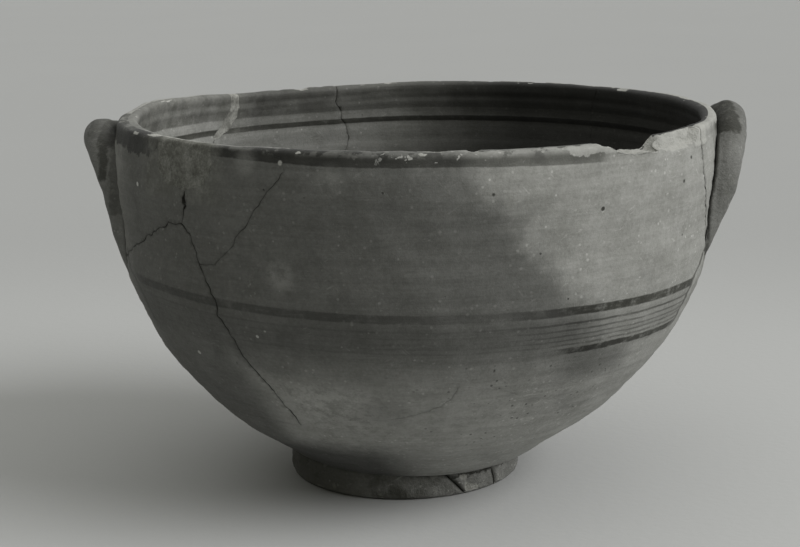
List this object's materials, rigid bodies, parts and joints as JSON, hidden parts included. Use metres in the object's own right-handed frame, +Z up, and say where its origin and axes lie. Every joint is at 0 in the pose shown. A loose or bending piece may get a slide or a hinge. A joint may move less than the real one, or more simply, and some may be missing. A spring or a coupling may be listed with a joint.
{
  "type": "skyphos cup",
  "caption": "Two-handled drinking cup of fired clay: deep bowl on a low foot ring, rod loop handles canted up to the lip, mended from sherds, thin painted bands.",
  "frame": {"origin": "on the bowl's own axis at the level the foot rests on", "axes": "+Z up through the mouth, +X towards the right handle, -Y is the side seen from the front"},
  "size_m": [0.2141, 0.194, 0.1208],
  "materials": {
    "bowl_clay": "matte",
    "handle_clay": "matte",
    "foot_clay": "matte",
    "plaster": "matte"
  },
  "bodies": {
    "root": {"front_sherd": "bowl_clay", "rim_wedge_sherd": "bowl_clay", "left_handle_sherd": "bowl_clay", "lower_left_sherd": "bowl_clay", "back_left_sherd": "bowl_clay", "back_sherd": "bowl_clay", "right_handle_sherd": "bowl_clay", "base_sherd": "bowl_clay", "lip_fill": "plaster", "seam_fill": "plaster", "foot_ring": "foot_clay", "foot_fragment": "foot_clay", "left_handle": "handle_clay", "right_handle": "handle_clay"}
  },
  "joints": []
}
